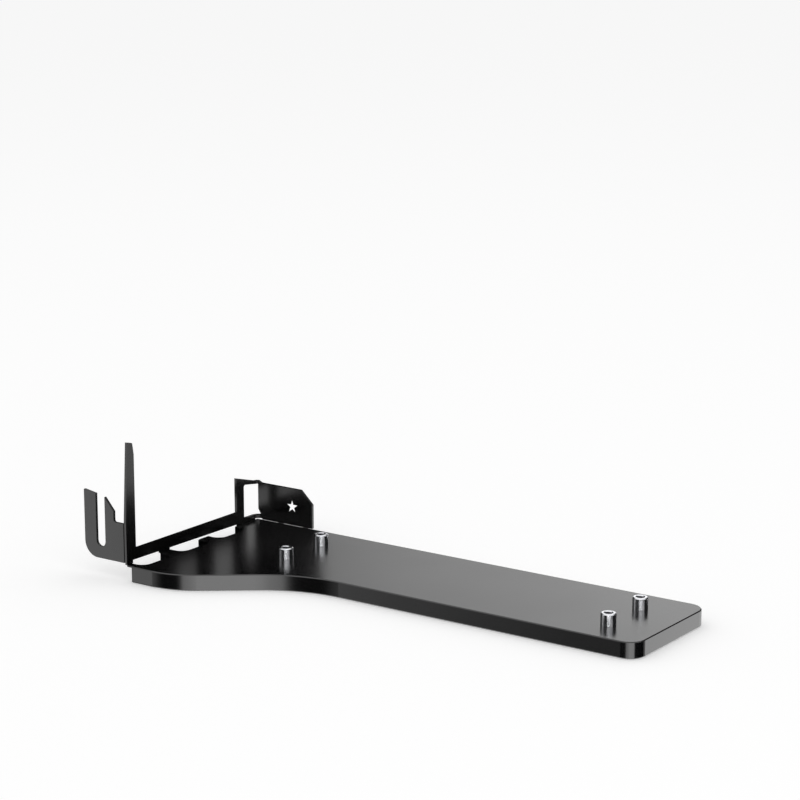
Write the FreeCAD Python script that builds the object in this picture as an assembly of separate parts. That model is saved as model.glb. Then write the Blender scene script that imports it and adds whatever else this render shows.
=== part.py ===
# Vertical graphics-card bracket: a thick base plate, a folded rear frame and four riser standoffs.
# Millimetres, +Z up. The origin is the centre of the riser hole pattern, on the plate's underside.
# +X runs from the rear frame to the plate's far end, and -Y is the front.
import FreeCAD, Part
import math
import os

# Base plate
plate_length = 182.2
plate_thickness = 5.5
arm_width = 46.0
far_corner_radius = 5.6
back_corner_radius = 0.8
edge_chamfer = 0.3

# Notches for the card's slot tongues, counted from the back edge
slot_count = 3
slot_pitch = 20.32
slot_width = 14.95
slot_depth = 5.6
slot_corner_radius = 3.2
slot_land = 12.9

# Horn beside the outermost notch, and the S-shaped shoulder down to the arm
horn_width = 3.36
horn_setback = 3.05
horn_lip = 0.4
horn_lip_corner = 1.2
shoulder_start = 12.0
shoulder_outer_radius = 25.0
shoulder_inner_radius = 46.0
shoulder_straight = 19.5

# Riser hole pattern
riser_length = 126.3
riser_width = 20.0
riser_far_margin = 16.9
riser_back_margin = 13.7

# Riser standoffs, pressed in from below
standoff_diameter = 5.0
standoff_height = 3.8
standoff_bore = 2.5
standoff_chamfer = 0.3
standoff_head_flats = 8.0
standoff_head_thickness = 1.6

# Rear frame: folded sheet
sheet = 1.0
bend_radius = 0.5
frame_inset = 1.15
rail_gap = 0.3
rail_rise = 0.5
rail_height = 4.35

outer_post_width = 4.8
outer_post_height = 41.2
outer_post_lean = 1.65
outer_post_crest = 0.6
outer_post_taper_run = 0.65
outer_post_taper_drop = 3.9
outer_foot_width = 3.15
tongue_foot_inset = 0.3
foot_drop = 0.3

inner_post_margin = 7.5
inner_post_width = 4.1
inner_post_height = 17.2
strip_height = 1.4
strip_bend_radius = 2.2
bar_outer_height = 14.1
bar_depth = 1.2
bar_root_height = 14.0
bar_corner_radius = 0.8

# Ear set on the outer post's edge along a fine seam, with a U slot for the case screw
ear_length = 18.6
ear_gap = 0.25
ear_seam_width = 0.5
ear_seam_depth = 0.4
ear_corner_radius = 5.5
ear_outer_height = 23.5
ear_outer_drop = 0.8
ear_slot_setback = 11.4
ear_slot_width = 4.0
ear_slot_floor = 4.4
ear_prong_width = 3.9
ear_prong_tip = 22.0
ear_prong_side = 17.6
ear_shoulder = 14.3
ear_shoulder_radius = 0.8
ear_shoulder_relief = 0.4

# Tab folded forward along the plate's back edge, with a star cut-out
tab_length = 24.7
tab_height = 13.4
tab_drop = 0.05
tab_corner_run = 5.05
tab_corner_drop = 4.75
tab_lead = 1.9
tab_relief_run = 1.25
tab_relief_rise = 2.0
star_setback = 15.8
star_height = 6.75
star_radius = 2.5
star_points = 5
star_seat_diameter = 7.0
star_web = 0.25

# Fixings between the frame and the plate
lug_slot_inset = 2.1
lug_back_inset = 1.2
skirt_gap = 0.3
skirt_slit = 0.5
apron_screw_near = 9.0
apron_screw_margin = 4.6
screw_diameter = 2.5
screw_length = 6.0
screw_clearance = 0.2
screw_tip_room = 0.5
screw_head_diameter = 4.5
screw_head_height = 1.5
screw_head_chamfer = 0.3
screw_socket_flats = 1.5
screw_socket_depth = 0.9

hex_sides = 6
full_turn = 360
quarter_turn = 90

# Datums worked out from the sizes above
slot_span = (slot_count - 1) * slot_pitch + slot_width
wide_width = slot_land + slot_span + horn_width
far_x = riser_far_margin + riser_length / 2
rear_x = far_x - plate_length
back_y = riser_back_margin + riser_width / 2
arm_front_y = back_y - arm_width
wide_front_y = back_y - wide_width
ear_y = wide_front_y + frame_inset
top_z = plate_thickness
mid_z = plate_thickness / 2
rail_low = top_z + rail_gap
skirt_high = top_z - skirt_slit
reach = 1.0
tolerance = 1e-6

vector = FreeCAD.Vector
along_x = vector(1, 0, 0)
along_y = vector(0, 1, 0)
along_z = vector(0, 0, 1)


def flat_sheet(outline, lay, thickness):
    """A closed outline of (a, b) pairs, laid in space and thickened along a vector."""
    corners = [lay(a, b) for a, b in outline]
    return Part.Face(Part.makePolygon(corners + corners[:1])).extrude(thickness)


def prism(sides, across_flats, height):
    """A regular prism standing on the origin."""
    corner_radius = across_flats / 2 / math.cos(math.pi / sides)
    turns = [2 * math.pi * k / sides for k in range(sides)]
    outline = [(corner_radius * math.cos(t), corner_radius * math.sin(t)) for t in turns]
    return flat_sheet(outline, lambda a, b: vector(a, b, 0), along_z * height)


def turned(profile):
    """A solid of revolution about Z from (radius, height) pairs."""
    corners = [vector(r, 0, z) for r, z in profile]
    face = Part.Face(Part.makePolygon(corners + corners[:1]))
    return face.revolve(vector(0, 0, 0), along_z, full_turn)


def tangent_arc(centre, radius, start, end):
    """An arc edge in the XY plane between two angles in radians."""
    points = []
    for angle in (start, (start + end) / 2, end):
        points.append(centre + vector(radius * math.cos(angle), radius * math.sin(angle), 0))
    return Part.Arc(*points).toShape()


def edges_between(shape, test):
    """The edges whose end points all pass a test."""
    return [edge for edge in shape.Edges if all(test(v.Point) for v in edge.Vertexes)]


def upright_edges(shape, test):
    """The vertical edges among those."""
    return [edge for edge in edges_between(shape, test) if not near(edge.Vertexes[0].Z, edge.Vertexes[1].Z)]


def near(a, b):
    return abs(a - b) < tolerance


def plate_outline():
    """The plate seen from above: straight back edge, S-shaped front edge, cut horn corner."""
    radii = shoulder_outer_radius + shoulder_inner_radius
    drop = wide_width - arm_width
    slant = math.atan2(radii, shoulder_straight)
    turn = slant + math.asin((drop - radii) / math.hypot(radii, shoulder_straight))
    quarter = math.pi / 2

    outer_centre = vector(rear_x + shoulder_start, wide_front_y + shoulder_outer_radius, 0)
    outer_arc = tangent_arc(outer_centre, shoulder_outer_radius, -quarter, turn - quarter)
    straight_start = outer_arc.Vertexes[-1].Point
    straight_end = straight_start + vector(math.cos(turn), math.sin(turn), 0) * shoulder_straight
    inner_centre = straight_end + vector(math.sin(turn), -math.cos(turn), 0) * shoulder_inner_radius
    inner_arc = tangent_arc(inner_centre, shoulder_inner_radius, quarter + turn, quarter)

    corners = [
        inner_arc.Vertexes[-1].Point,
        vector(far_x, arm_front_y, 0),
        vector(far_x, back_y, 0),
        vector(rear_x, back_y, 0),
        vector(rear_x, wide_front_y + horn_lip_corner, 0),
        vector(rear_x + horn_lip_corner, wide_front_y, 0),
        outer_arc.Vertexes[0].Point,
    ]
    edges = [outer_arc, Part.makeLine(straight_start, straight_end), inner_arc]
    edges += [Part.makeLine(a, b) for a, b in zip(corners, corners[1:])]
    return Part.Wire(Part.__sortEdges__(edges))


def slot_cutter(index):
    """One notch: a pocket open at the plate's rear end, with rounded inner corners."""
    inner_x = rear_x + slot_depth
    low_y = back_y - slot_land - slot_width - index * slot_pitch
    foot = vector(rear_x - reach, low_y, 0)
    block = Part.makeBox(slot_depth + reach, slot_width, plate_thickness, foot)
    return block.makeFillet(slot_corner_radius, upright_edges(block, lambda p: near(p.x, inner_x)))


def horn_cutter():
    """The space under the horn's end, which leaves a thin lip at the top."""
    foot = vector(rear_x - reach, wide_front_y - reach, 0)
    return Part.makeBox(reach + horn_setback, reach + horn_width, plate_thickness - horn_lip, foot)


def standoff_places():
    """Plan positions of the four standoffs by name."""
    places = {}
    for row, y in (("front", -riser_width / 2), ("rear", riser_width / 2)):
        for side, x in (("left", -riser_length / 2), ("right", riser_length / 2)):
            places["standoff_%s_%s" % (row, side)] = vector(x, y, 0)
    return places


def screw_places():
    """Seat of each frame screw's head and the way the head points: one in the lug, two in the apron."""
    lug_y = back_y - (slot_land - lug_slot_inset + lug_back_inset) / 2
    places = [(vector(rear_x - sheet, lug_y, mid_z), -along_x)]
    for x in (rear_x + apron_screw_near, rear_x + tab_length - apron_screw_margin):
        places.append((vector(x, back_y + sheet, mid_z), along_y))
    return places


def bore(seat, outward, diameter, depth):
    """A drilled hole that starts at a seat and runs inward."""
    return Part.makeCylinder(diameter / 2, depth, seat, outward * -1)


def base_plate():
    plate = Part.Face(plate_outline()).extrude(along_z * plate_thickness)
    for index in range(slot_count):
        plate = plate.cut(slot_cutter(index))

    far_corners = upright_edges(plate, lambda p: near(p.x, far_x))
    plate = plate.makeFillet(far_corner_radius, far_corners)
    back_corner = upright_edges(plate, lambda p: near(p.x, rear_x) and near(p.y, back_y))
    plate = plate.makeFillet(back_corner_radius, back_corner)

    rims = edges_between(plate, lambda p: near(p.z, 0)) + edges_between(plate, lambda p: near(p.z, top_z))
    plate = plate.makeChamfer(edge_chamfer, rims)
    plate = plate.cut(horn_cutter())

    for place in standoff_places().values():
        head = prism(hex_sides, standoff_head_flats, standoff_head_thickness)
        head.translate(place)
        plate = plate.cut(head)
        plate = plate.cut(Part.makeCylinder(standoff_diameter / 2, plate_thickness, place))
    for seat, outward in screw_places():
        plate = plate.cut(bore(seat, outward, screw_diameter, screw_length + screw_tip_room))
    return plate


def standoff(place):
    """A round threaded post with a hexagonal head flush in the plate's underside."""
    radius = standoff_diameter / 2
    bore_radius = standoff_bore / 2
    top = plate_thickness + standoff_height
    post = turned([
        (bore_radius, standoff_head_thickness),
        (radius, standoff_head_thickness),
        (radius, top - standoff_chamfer),
        (radius - standoff_chamfer, top),
        (bore_radius + standoff_chamfer, top),
        (bore_radius, top - standoff_chamfer),
    ])
    head = prism(hex_sides, standoff_head_flats, standoff_head_thickness)
    head = head.cut(Part.makeCylinder(bore_radius, standoff_head_thickness))
    piece = post.fuse(head).removeSplitter()
    piece.translate(place)
    return piece


def corner_fold(radius, low_z, high_z):
    """A quarter turn of bent sheet round the plate's back corner, with a given inner radius."""
    foot = vector(rear_x + radius, back_y - radius, low_z)
    height = high_z - low_z
    outer = Part.makeCylinder(radius + sheet, height, foot, along_z, quarter_turn)
    inner = Part.makeCylinder(radius, height, foot, along_z, quarter_turn)
    bend = outer.cut(inner)
    bend.rotate(foot, along_z, quarter_turn)
    return bend


def frame_panel():
    """The upright sheet across the plate's rear end: rail, two posts, low strip, top bar and lug."""
    post_inner_y = ear_y + outer_post_width
    post_high = top_z + outer_post_height
    foot_low = top_z - foot_drop
    foot_inner_y = ear_y + outer_foot_width
    tongue_start_y = wide_front_y + horn_width + slot_width
    tongue_foot_start_y = tongue_start_y + tongue_foot_inset
    tongue_foot_end_y = tongue_start_y + slot_pitch - slot_width - tongue_foot_inset
    rail_high = rail_low + rail_height
    inner_right_y = back_y - inner_post_margin
    inner_left_y = inner_right_y - inner_post_width
    end_y = back_y - bend_radius
    strip_end_y = back_y - strip_bend_radius
    strip_high = rail_low + strip_height
    lug_start_y = back_y - slot_land + lug_slot_inset
    lug_end_y = back_y - lug_back_inset

    def rail_edge(y):
        """A point on the rail's lower edge, which rises a little from the lug to the outer foot."""
        return y, rail_low + rail_rise * (lug_start_y - y) / (lug_start_y - foot_inner_y)

    outline = [
        (ear_y, foot_low),
        (foot_inner_y, foot_low),
        rail_edge(foot_inner_y),
        rail_edge(tongue_foot_start_y),
        (tongue_foot_start_y, foot_low),
        (tongue_foot_end_y, foot_low),
        rail_edge(tongue_foot_end_y),
        rail_edge(lug_start_y),
        (lug_start_y, skirt_gap),
        (end_y, skirt_gap),
        (end_y, skirt_high),
        (lug_end_y, skirt_high),
        (lug_end_y, rail_low),
        (strip_end_y, rail_low),
        (strip_end_y, strip_high),
        (inner_right_y, strip_high),
        (inner_right_y, top_z + bar_root_height),
        (end_y, top_z + bar_outer_height - bar_depth),
        (end_y, top_z + bar_outer_height),
        (inner_left_y, top_z + inner_post_height),
        (inner_left_y, rail_high),
        (post_inner_y, rail_high),
        (post_inner_y, post_high - outer_post_taper_drop),
        (post_inner_y - outer_post_taper_run, post_high),
        (ear_y + outer_post_lean, post_high + outer_post_crest),
        (ear_y, top_z + ear_shoulder),
    ]
    panel = flat_sheet(outline, lambda y, z: vector(rear_x, y, z), along_x * -sheet)
    bar_root_z = top_z + bar_root_height
    window_corner = edges_between(panel, lambda p: near(p.y, inner_right_y) and near(p.z, bar_root_z))
    return panel.makeFillet(bar_corner_radius, window_corner)


def frame_ear():
    """The ear on the outer post's edge: two prongs beside a U slot, rounded at the lower corner."""
    end_x = rear_x - ear_length
    slot_x = rear_x - ear_slot_setback
    slot_radius = ear_slot_width / 2
    floor_z = top_z + ear_slot_floor
    low_z = top_z + ear_gap
    prong_x = slot_x + slot_radius + ear_prong_width
    shoulder_z = top_z + ear_shoulder - ear_shoulder_relief
    outline = [
        (rear_x - sheet, low_z),
        (end_x, low_z),
        (end_x, top_z + ear_outer_height),
        (slot_x - slot_radius, top_z + ear_outer_height - ear_outer_drop),
        (slot_x + slot_radius, top_z + ear_prong_tip),
        (prong_x, top_z + ear_prong_side),
        (prong_x, shoulder_z),
        (rear_x - sheet, shoulder_z),
    ]
    ear = flat_sheet(outline, lambda x, z: vector(x, ear_y, z), along_y * sheet)
    outer_corner = edges_between(ear, lambda p: near(p.x, end_x) and near(p.z, low_z))
    ear = ear.makeFillet(ear_corner_radius, outer_corner)
    inner_corner = edges_between(ear, lambda p: near(p.x, prong_x) and near(p.z, shoulder_z))
    ear = ear.makeFillet(ear_shoulder_radius, inner_corner)

    slot_foot = vector(slot_x, ear_y, floor_z + slot_radius)
    slot = Part.makeCylinder(slot_radius, sheet, slot_foot, along_y)
    slot = slot.fuse(Part.makeBox(ear_slot_width, sheet, ear_outer_height, slot_foot - along_x * slot_radius))
    return ear.cut(slot)


def ear_seam():
    """The fine groove down the seam between the ear and the outer post."""
    foot = vector(rear_x - sheet - ear_seam_width / 2, ear_y, top_z - foot_drop)
    return Part.makeBox(ear_seam_width, ear_seam_depth, foot_drop + ear_shoulder, foot)


def star_cutter():
    """A regular star, one point up, through the tab, with a round seat behind it that leaves a thin web."""
    step = math.pi / star_points
    inner_radius = star_radius * math.cos(2 * step) / math.cos(step)
    outline = []
    for k in range(2 * star_points):
        angle = math.pi / 2 + step * k
        radius = inner_radius if k % 2 else star_radius
        outline.append((radius * math.cos(angle), radius * math.sin(angle)))
    centre = vector(rear_x + star_setback, back_y, top_z + star_height)
    star = flat_sheet(outline, lambda a, b: centre + vector(a, 0, b), along_y * sheet)
    seat = Part.makeCylinder(star_seat_diameter / 2, sheet - star_web, centre + along_y * star_web, along_y)
    return star.fuse(seat)


def frame_tab():
    """The tab above the plate's back edge, with a cut corner and a star."""
    fold_x = rear_x + bend_radius
    end_x = rear_x + tab_length
    heel_x = rear_x + strip_bend_radius
    strip_top = rail_low + strip_height
    relief_x = fold_x + tab_relief_run
    outline = [
        (heel_x, top_z - tab_drop),
        (end_x, top_z - tab_drop),
        (end_x, top_z + tab_height - tab_corner_drop),
        (end_x - tab_corner_run, top_z + tab_height),
        (rear_x + tab_lead, top_z + tab_height),
        (fold_x, top_z + bar_outer_height),
        (fold_x, strip_top + tab_relief_rise),
        (relief_x, strip_top),
        (heel_x, strip_top),
    ]
    tab = flat_sheet(outline, lambda x, z: vector(x, back_y, z), along_y * sheet)
    return tab.cut(star_cutter())


def frame_apron():
    """The apron behind the plate's back edge, a slit below the tab."""
    start = vector(rear_x + bend_radius, back_y, skirt_gap)
    return Part.makeBox(tab_length - bend_radius, sheet, skirt_high - skirt_gap, start)


def rear_frame():
    bar_high = top_z + bar_outer_height
    folds = [
        corner_fold(bend_radius, skirt_gap, skirt_high),
        corner_fold(strip_bend_radius, rail_low, rail_low + strip_height),
        corner_fold(bend_radius, bar_high - bar_depth, bar_high),
    ]
    flats = [frame_ear(), frame_tab(), frame_apron()]
    frame = frame_panel().fuse(folds + flats).removeSplitter()
    frame = frame.cut(ear_seam())
    for seat, outward in screw_places():
        frame = frame.cut(bore(seat, outward, screw_diameter + 2 * screw_clearance, sheet))
    return frame


def screw(seat, outward):
    """A small socket-head screw, its head seated on the sheet."""
    shank = screw_diameter / 2
    head = screw_head_diameter / 2
    piece = turned([
        (0, -screw_length),
        (shank, -screw_length),
        (shank, 0),
        (head, 0),
        (head, screw_head_height - screw_head_chamfer),
        (head - screw_head_chamfer, screw_head_height),
        (0, screw_head_height),
    ])
    socket = prism(hex_sides, screw_socket_flats, screw_socket_depth)
    socket.translate(along_z * (screw_head_height - screw_socket_depth))
    piece = piece.cut(socket)
    piece.Placement = FreeCAD.Placement(seat, FreeCAD.Rotation(along_z, outward))
    return piece


def sub_parts():
    """Every piece of the bracket by node name."""
    pieces = {"base_plate": base_plate(), "rear_frame": rear_frame()}
    for name, place in standoff_places().items():
        pieces[name] = standoff(place)
    screws = [screw(seat, outward) for seat, outward in screw_places()]
    pieces["frame_screws"] = Part.makeCompound(screws)
    return pieces


os.makedirs("parts", exist_ok=True)
for node, shape in sub_parts().items():
    shape.exportStep("parts/%s.step" % node)
    print("%s: %d solid(s), %.1f mm3, valid %s" % (node, len(shape.Solids), shape.Volume, shape.isValid()))
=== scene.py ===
"""Looks for the vertical graphics card bracket: finishes, bore threads, studio and camera.

Everything is in metres in the CAD frame. The origin is the centre of the riser hole pattern on the
plate's underside, +X runs from the rear frame to the far end and -Y is the front.
"""

import math

import bmesh
import bpy
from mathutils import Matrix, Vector


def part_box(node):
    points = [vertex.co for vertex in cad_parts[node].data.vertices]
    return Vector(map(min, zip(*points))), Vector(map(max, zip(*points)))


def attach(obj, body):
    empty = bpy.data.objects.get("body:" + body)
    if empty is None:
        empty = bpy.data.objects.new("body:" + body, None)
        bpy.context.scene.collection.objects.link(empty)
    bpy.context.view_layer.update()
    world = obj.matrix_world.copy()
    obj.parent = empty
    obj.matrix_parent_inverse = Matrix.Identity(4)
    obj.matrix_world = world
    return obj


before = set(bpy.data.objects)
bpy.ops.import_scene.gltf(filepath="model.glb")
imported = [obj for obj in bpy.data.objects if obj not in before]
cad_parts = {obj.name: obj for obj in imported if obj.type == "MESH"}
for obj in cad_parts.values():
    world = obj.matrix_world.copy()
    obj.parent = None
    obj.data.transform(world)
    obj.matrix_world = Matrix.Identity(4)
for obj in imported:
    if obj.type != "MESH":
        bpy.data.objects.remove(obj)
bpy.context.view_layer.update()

MM = 0.001
quarter_turn = 90.0
half_turn = 180.0
full_turn = 360.0
white = (1.0, 1.0, 1.0, 1.0)
black = (0.0, 0.0, 0.0, 1.0)

# Sockets of Blender's Mix node when it mixes colours
mix_first = 6
mix_second = 7
mix_result = 2

# Finish of each CAD node that isn't a standoff
node_slots = {
    "base_plate": "plate",
    "rear_frame": "frame",
    "frame_screws": "screw",
}

# Threads in the riser posts
thread_pitch = 0.5 * MM
thread_wall_radius = 1.262 * MM
thread_crest_radius = 1.06 * MM
thread_root_share = 0.42
thread_crest_share = 0.07
thread_margin = 0.22 * MM
thread_steps = 28

# Camera, found from the plate's straight edges in the photograph
camera_place = (0.419566, -0.631823, 0.238367)
camera_azimuth = 35.0
camera_elevation = 12.75
camera_lens = 108.333
camera_sensor = 36.0
camera_near = 0.01
camera_far = 50.0

# Floor, and the even light on surfaces
floor_reach = 9.0
floor_drop = 0.2 * MM
floor_colour = (0.90, 0.90, 0.90, 1.0)
floor_roughness = 0.9
floor_glow = 0.28
ambient_level = 0.72

# Soft lamps, turned to one place on the part
aim = Vector((-0.010, -0.010, 0.006))
softboxes = {
    "key_front_right": dict(heading=-39, distance=1.15, height=0.7, width=1.2, tall=0.8, power=1.0),
    "top": dict(heading=125, distance=0.15, height=1.3, width=1.4, tall=1.4, power=1.0),
}

# Screens round the part: heading in degrees from +X, anticlockwise from above, and brightness
low_screens = [
    (-180, 0.50), (-150, 0.65), (-138, 1.08), (-132.5, 1.05), (-130.5, 0.78), (-126, 0.42),
    (-122, 0.20), (-116, 0.07), (-111, 0.02), (-88, 0.02), (-83, 0.20), (-77, 1.35),
    (-66, 1.60), (-58, 2.15), (-30, 2.10), (-24, 0.01), (40, 0.01), (46, 0.42),
    (50, 0.58), (58, 1.55), (64, 1.90), (75, 1.50), (100, 0.70), (180, 0.50),
]
high_screens = [
    (-180, 0.04), (-170, 0.05), (-166, 0.90), (-141, 0.90), (-134, 0.20), (-120, 0.16),
    (-112, 0.02), (-80, 0.02), (-78, 1.15), (0, 1.15), (2, 0.01), (99, 0.01),
    (101, 1.20), (114, 1.33), (118, 1.25), (120.3, 1.12), (122.6, 0.97), (125, 0.91),
    (126, 0.89), (126.5, 0.76), (126.9, 0.60), (127.3, 0.60), (128.5, 0.60), (129.2, 0.42),
    (130.2, 0.21), (131.5, 0.12), (134, 0.03), (180, 0.03),
]
upper_level = 0.22
whole_ring = (-180, 180)
screen_radius = 12.0
screen_height = 6.0
screen_steps = 96
brightest = 4.8

# A low bright strip on the camera's side, for the posts
strip_span = (-78, -33)
strip_screens = [(-78, 0.0), (-75, brightest), (-36, brightest), (-33, 0.0)]
strip_radius = 11.5
strip_height = 1.7

# Dark cards close behind the rear frame, from start to end along Y. They show only in gloss:
# painted dark reflections in the plate, its notches and the frame.
painted_reflection_cards = {
    "card_1": dict(x=-0.140, start=-0.0038, end=0.0244, foot=0.0, top=0.13),
    "card_2": dict(x=-0.120, start=0.0110, end=0.0215, foot=0.0, top=0.13),
    "card_3": dict(x=-0.120, start=0.0316, end=0.0400, foot=0.0, top=0.13),
    "card_4": dict(x=-0.120, start=0.0449, end=0.0865, foot=0.0, top=0.13),
    "card_notches": dict(x=-0.112, start=-0.0458, end=0.0180, foot=-0.030, top=0.0056),
    "card_sill": dict(x=-0.112, start=-0.0340, end=0.0235, foot=0.0125, top=0.0164),
    "card_lid": dict(x=-0.1045, start=0.0165, end=0.0275, foot=0.0224, top=0.10),
}


def new_object(name, bm):
    """A mesh object from a bmesh, linked to the scene."""
    mesh = bpy.data.meshes.new(name)
    bm.to_mesh(mesh)
    bm.free()
    obj = bpy.data.objects.new(name, mesh)
    bpy.context.scene.collection.objects.link(obj)
    return obj


class Nodes:
    """A node tree with short helpers."""

    def __init__(self, tree):
        self.nodes = tree.nodes
        self.links = tree.links

    def join(self, source, target):
        self.links.new(source, target)

    def combine(self, operation, first, second):
        node = self.nodes.new("ShaderNodeMath")
        node.operation = operation
        self.join(first, node.inputs[0])
        self.join(second, node.inputs[1])
        return node.outputs[0]

    def spread(self, source, low, high, start=0.3, end=0.7):
        node = self.nodes.new("ShaderNodeMapRange")
        node.inputs["From Min"].default_value = start
        node.inputs["From Max"].default_value = end
        node.inputs["To Min"].default_value = low
        node.inputs["To Max"].default_value = high
        self.join(source, node.inputs["Value"])
        return node.outputs["Result"]

    def shown_rays(self):
        """One for the rays that show a background: from the camera, or by gloss or glass."""
        path = self.nodes.new("ShaderNodeLightPath").outputs
        seen = self.combine("MAXIMUM", path["Is Camera Ray"], path["Is Glossy Ray"])
        return self.combine("MAXIMUM", seen, path["Is Transmission Ray"])


class Material(Nodes):
    """A node material with a principled shader and short helpers for its textures."""

    def __init__(self, name):
        self.material = bpy.data.materials.new(name)
        self.material.use_nodes = True
        super().__init__(self.material.node_tree)
        self.shader = self.nodes["Principled BSDF"]
        places = self.nodes.new("ShaderNodeTexCoord").outputs
        self.coords = places["Object"]
        self.normal = places["Normal"]

    def set(self, **values):
        for socket, value in values.items():
            self.shader.inputs[socket.replace("_", " ")].default_value = value

    def feed(self, source, socket):
        self.join(source, self.shader.inputs[socket])

    def part(self, vector, axis):
        node = self.nodes.new("ShaderNodeSeparateXYZ")
        self.join(vector, node.inputs["Vector"])
        return node.outputs[axis]

    def stretched(self, scale):
        node = self.nodes.new("ShaderNodeMapping")
        node.inputs["Scale"].default_value = scale
        self.join(self.coords, node.inputs["Vector"])
        return node.outputs["Vector"]

    def noise(self, scale, detail, coords=None):
        node = self.nodes.new("ShaderNodeTexNoise")
        node.inputs["Scale"].default_value = scale
        node.inputs["Detail"].default_value = detail
        self.join(coords or self.coords, node.inputs["Vector"])
        return node.outputs["Fac"]

    def tint(self, cloud, dark, light):
        """A base colour that drifts from dark to light with a noise."""
        node = self.nodes.new("ShaderNodeMix")
        node.data_type = "RGBA"
        node.inputs[mix_first].default_value = dark
        node.inputs[mix_second].default_value = light
        self.join(self.spread(cloud, low=0.0, high=1.0), node.inputs["Factor"])
        self.feed(node.outputs[mix_result], "Base Color")

    def bump(self, height, strength, distance, below=None):
        node = self.nodes.new("ShaderNodeBump")
        node.inputs["Strength"].default_value = strength
        node.inputs["Distance"].default_value = distance
        self.join(height, node.inputs["Height"])
        if below is not None:
            self.join(below, node.inputs["Normal"])
        return node.outputs["Normal"]


def plate_finish():
    """Black anodised aluminium: softer faces, brighter cut edges, a fine grain, a cloudy sheen."""
    m = Material("plate_black_anodised")
    m.set(IOR=1.8, Metallic=0.0)
    cloud = m.noise(scale=38.0, detail=4.0)
    grain = m.noise(scale=5200.0, detail=2.0)
    m.tint(cloud, dark=(0.0018, 0.0018, 0.0020, 1), light=(0.0032, 0.0032, 0.0034, 1))
    edge = m.spread(cloud, low=0.125, high=0.155)
    face = m.spread(m.part(m.normal, "Z"), low=0.0, high=0.065, start=0.5, end=0.9)
    m.feed(m.combine("ADD", edge, face), "Roughness")
    m.feed(m.bump(grain, strength=0.04, distance=0.004 * MM), "Normal")
    return m.material


def frame_finish():
    """Black powder coat on folded sheet: fine orange peel over a slow gloss change."""
    m = Material("frame_black_coat")
    m.set(IOR=1.85, Metallic=0.0)
    cloud = m.noise(scale=90.0, detail=3.0)
    peel = m.noise(scale=1500.0, detail=2.0)
    grain = m.noise(scale=6000.0, detail=1.0)
    m.tint(cloud, dark=(0.0012, 0.0012, 0.0013, 1), light=(0.0020, 0.0020, 0.0021, 1))
    m.feed(m.spread(cloud, low=0.18, high=0.22), "Roughness")
    waves = m.bump(peel, strength=0.06, distance=0.01 * MM)
    m.feed(m.bump(grain, strength=0.05, distance=0.004 * MM, below=waves), "Normal")
    return m.material


def standoff_finish():
    """Bright nickel on turned posts, with faint tool rings."""
    m = Material("standoff_bright_nickel")
    m.set(Metallic=1.0, Anisotropic=0.9, Anisotropic_Rotation=0.25)
    around = m.nodes.new("ShaderNodeTangent")
    around.direction_type = "RADIAL"
    around.axis = "Z"
    m.feed(around.outputs["Tangent"], "Tangent")
    cloud = m.noise(scale=900.0, detail=3.0)
    rings = m.noise(scale=1.0, detail=2.0, coords=m.stretched((60.0, 60.0, 9000.0)))
    m.tint(cloud, dark=(0.82, 0.83, 0.86, 1), light=(0.90, 0.91, 0.94, 1))
    m.feed(m.spread(rings, low=0.16, high=0.20), "Roughness")
    m.feed(m.bump(rings, strength=0.02, distance=0.002 * MM), "Normal")
    return m.material


def shaded_thread_finish():
    """Dull nickel down in the bores, its colour painted near-black as shade in the bores."""
    m = Material("thread_nickel_painted_shade")
    m.set(Metallic=1.0)
    cloud = m.noise(scale=2400.0, detail=3.0)
    # Near-black base colour: painted shade in the bore, not the nickel's own colour; the noise only
    # varies it at random.
    m.tint(cloud, dark=(0.025, 0.025, 0.03, 1), light=(0.06, 0.06, 0.07, 1))
    m.feed(m.spread(cloud, low=0.25, high=0.40), "Roughness")
    m.feed(m.bump(cloud, strength=0.05, distance=0.003 * MM), "Normal")
    return m.material


def screw_finish():
    """Black oxide on small socket screws."""
    m = Material("screw_black_oxide")
    m.set(IOR=1.7, Metallic=0.35)
    cloud = m.noise(scale=1800.0, detail=4.0)
    m.tint(cloud, dark=(0.010, 0.010, 0.011, 1), light=(0.028, 0.028, 0.030, 1))
    m.feed(m.spread(cloud, low=0.28, high=0.42), "Roughness")
    m.feed(m.bump(cloud, strength=0.05, distance=0.004 * MM), "Normal")
    return m.material


def bore_thread(name, node):
    """The helical thread in a post's bore, a ridge whose root lies just inside the bore's wall."""
    low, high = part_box(node)
    centre_x = (low.x + high.x) / 2
    centre_y = (low.y + high.y) / 2
    start = low.z + thread_margin
    turns = (high.z - low.z - 2 * thread_margin) / thread_pitch
    root = thread_root_share * thread_pitch
    crest = thread_crest_share * thread_pitch
    section = [
        (thread_wall_radius, -root),
        (thread_crest_radius, -crest),
        (thread_crest_radius, crest),
        (thread_wall_radius, root),
    ]
    bm = bmesh.new()
    rows = []
    for step in range(int(turns * thread_steps) + 1):
        angle = 2 * math.pi * step / thread_steps
        rise = start + thread_pitch * step / thread_steps
        row = []
        for radius, offset in section:
            row.append(bm.verts.new((
                centre_x + radius * math.cos(angle),
                centre_y + radius * math.sin(angle),
                rise + offset,
            )))
        rows.append(row)
    for before, after in zip(rows, rows[1:]):
        for side in range(len(section)):
            other = (side + 1) % len(section)
            bm.faces.new((before[side], before[other], after[other], after[side]))
    bm.faces.new(rows[0][::-1])
    bm.faces.new(rows[-1])
    bmesh.ops.recalc_face_normals(bm, faces=bm.faces)
    return new_object(name, bm)


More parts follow.
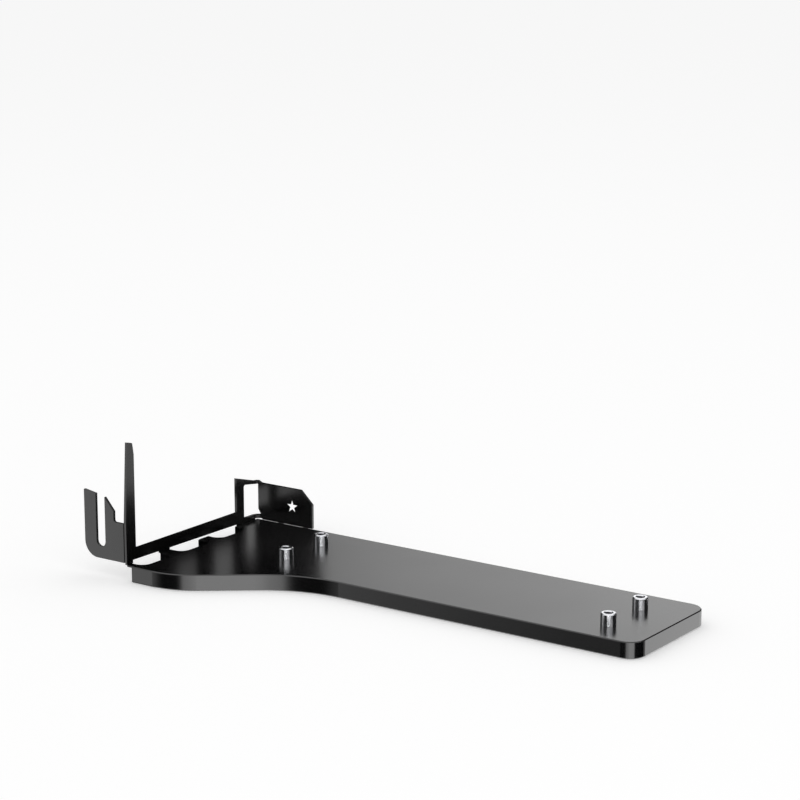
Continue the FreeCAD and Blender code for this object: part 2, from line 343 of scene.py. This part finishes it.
def dress():
    """Gives every CAD node its finish and adds the threads in the posts."""
    finishes = {
        "plate": plate_finish(),
        "frame": frame_finish(),
        "standoff": standoff_finish(),
        "thread": shaded_thread_finish(),
        "screw": screw_finish(),
    }
    for node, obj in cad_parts.items():
        slot = node_slots.get(node, "standoff")
        obj.data.materials.clear()
        obj.data.materials.append(finishes[slot])
        if slot == "standoff":
            thread = bore_thread(node.replace("standoff", "thread"), node)
            thread.data.materials.append(finishes["thread"])
            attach(thread, "root")


def studio_floor():
    """A wide pale floor just under the plate: near-white paper that keeps a soft shadow."""
    bm = bmesh.new()
    corners = [(-1, -1), (1, -1), (1, 1), (-1, 1)]
    bm.faces.new([
        bm.verts.new((x * floor_reach, y * floor_reach, -floor_drop)) for x, y in corners
    ])
    floor = new_object("floor", bm)
    m = Material("floor_paper")
    m.set(Base_Color=floor_colour, Roughness=floor_roughness, Specular_IOR_Level=0.0)
    m.set(Emission_Color=white)
    glow = m.spread(m.shown_rays(), low=0.0, high=floor_glow, start=0.0, end=1.0)
    m.feed(glow, "Emission Strength")
    floor.data.materials.append(m.material)
    floor.visible_glossy = False


def gloss_only(obj):
    """A studio screen or card that shows in gloss and nowhere else, and throws no shadow."""
    obj.visible_camera = False
    obj.visible_diffuse = False
    obj.visible_shadow = False


def lit_screen(name):
    """A black surface that is ready to glow, and that lights nothing by itself."""
    m = Material(name)
    m.set(Base_Color=black, Specular_IOR_Level=0.0)
    m.material.cycles.emission_sampling = "NONE"
    return m


def even_screen(name, level):
    """A lit screen of one brightness."""
    m = lit_screen(name)
    m.set(Emission_Color=white, Emission_Strength=level)
    return m.material


def graded_screen(name, levels):
    """A lit screen whose brightness changes with the heading."""
    m = lit_screen(name)
    turn = m.combine("ARCTAN2", m.part(m.coords, "Y"), m.part(m.coords, "X"))
    ramp = m.nodes.new("ShaderNodeValToRGB")
    share_of_turn = m.spread(turn, low=0.0, high=1.0, start=-math.pi, end=math.pi)
    m.join(share_of_turn, ramp.inputs["Fac"])
    stops = ramp.color_ramp.elements
    while len(stops) > 1:
        stops.remove(stops[-1])
    for index, (heading, level) in enumerate(levels):
        place = (heading + half_turn) / full_turn
        stop = stops[0] if index == 0 else stops.new(place)
        stop.position = place
        share = level / brightest
        stop.color = (share, share, share, 1.0)
    m.set(Emission_Strength=brightest)
    m.feed(ramp.outputs["Color"], "Emission Color")
    return m.material


def screen_ring(name, radius, foot, top, material, span=whole_ring):
    """A ring of screens far round the part, or an arc of it between two headings."""
    first, last = span
    bm = bmesh.new()
    rows = []
    for step in range(screen_steps + 1):
        angle = math.radians(first + (last - first) * step / screen_steps)
        x = radius * math.cos(angle)
        y = radius * math.sin(angle)
        rows.append((bm.verts.new((x, y, foot)), bm.verts.new((x, y, top))))
    for before, after in zip(rows, rows[1:]):
        bm.faces.new((before[0], after[0], after[1], before[1]))
    ring = new_object(name, bm)
    ring.data.materials.append(material)
    gloss_only(ring)


def upright_card(name, material, x, start, end, foot, top):
    """A flat upright card across the part."""
    bm = bmesh.new()
    corners = [(start, foot), (end, foot), (end, top), (start, top)]
    bm.faces.new([bm.verts.new((x, y, z)) for y, z in corners])
    card = new_object(name, bm)
    card.data.materials.append(material)
    gloss_only(card)


def softbox(name, heading, distance, height, width, tall, power):
    """A soft rectangular lamp at a heading in degrees. It leaves gloss to the screens."""
    lamp = bpy.data.lights.new(name, "AREA")
    lamp.shape = "RECTANGLE"
    lamp.size = width
    lamp.size_y = tall
    lamp.energy = power
    obj = bpy.data.objects.new(name, lamp)
    angle = math.radians(heading)
    obj.location = (
        aim.x + distance * math.cos(angle),
        aim.y + distance * math.sin(angle),
        height,
    )
    obj.rotation_euler = (aim - obj.location).to_track_quat("-Z", "Y").to_euler()
    obj.visible_camera = False
    obj.visible_glossy = False
    bpy.context.scene.collection.objects.link(obj)


def studio_world():
    """White where the background shows, and a lower even light on surfaces."""
    world = bpy.data.worlds.new("studio")
    world.use_nodes = True
    bpy.context.scene.world = world
    w = Nodes(world.node_tree)
    background = w.nodes["Background"]
    background.inputs["Color"].default_value = white
    level = w.spread(w.shown_rays(), low=ambient_level, high=1.0, start=0.0, end=1.0)
    w.join(level, background.inputs["Strength"])


def studio():
    """Floor, screens, cards, lamps and world."""
    studio_floor()
    low = graded_screen("screens_low", low_screens)
    high = graded_screen("screens_high", high_screens)
    upper = even_screen("screens_upper", upper_level)
    strip = graded_screen("strip", strip_screens)
    screen_ring("screens_low", screen_radius, -screen_height, 0.0, low)
    screen_ring("screens_high", screen_radius, 0.0, screen_height, high)
    screen_ring("screens_upper", screen_radius, screen_height, 2 * screen_height, upper)
    screen_ring("strip", strip_radius, 0.0, strip_height, strip, strip_span)
    # Black cards seen only in gloss: painted dark reflections.
    dark = Material("card_black_painted_reflection")
    dark.set(Base_Color=black, Specular_IOR_Level=0.0, Roughness=1.0)
    for name, sizes in painted_reflection_cards.items():
        upright_card(name, dark.material, **sizes)
    for name, settings in softboxes.items():
        softbox(name, **settings)
    studio_world()


def camera():
    """The camera at the photograph's viewing angle."""
    data = bpy.data.cameras.new("camera")
    data.sensor_width = camera_sensor
    data.lens = camera_lens
    data.clip_start = camera_near
    data.clip_end = camera_far
    obj = bpy.data.objects.new("camera", data)
    obj.location = camera_place
    tilt = math.radians(quarter_turn - camera_elevation)
    obj.rotation_euler = (tilt, 0.0, math.radians(camera_azimuth))
    bpy.context.scene.collection.objects.link(obj)
    bpy.context.scene.camera = obj


bpy.context.scene.view_settings.view_transform = "Standard"
dress()
studio()
camera()
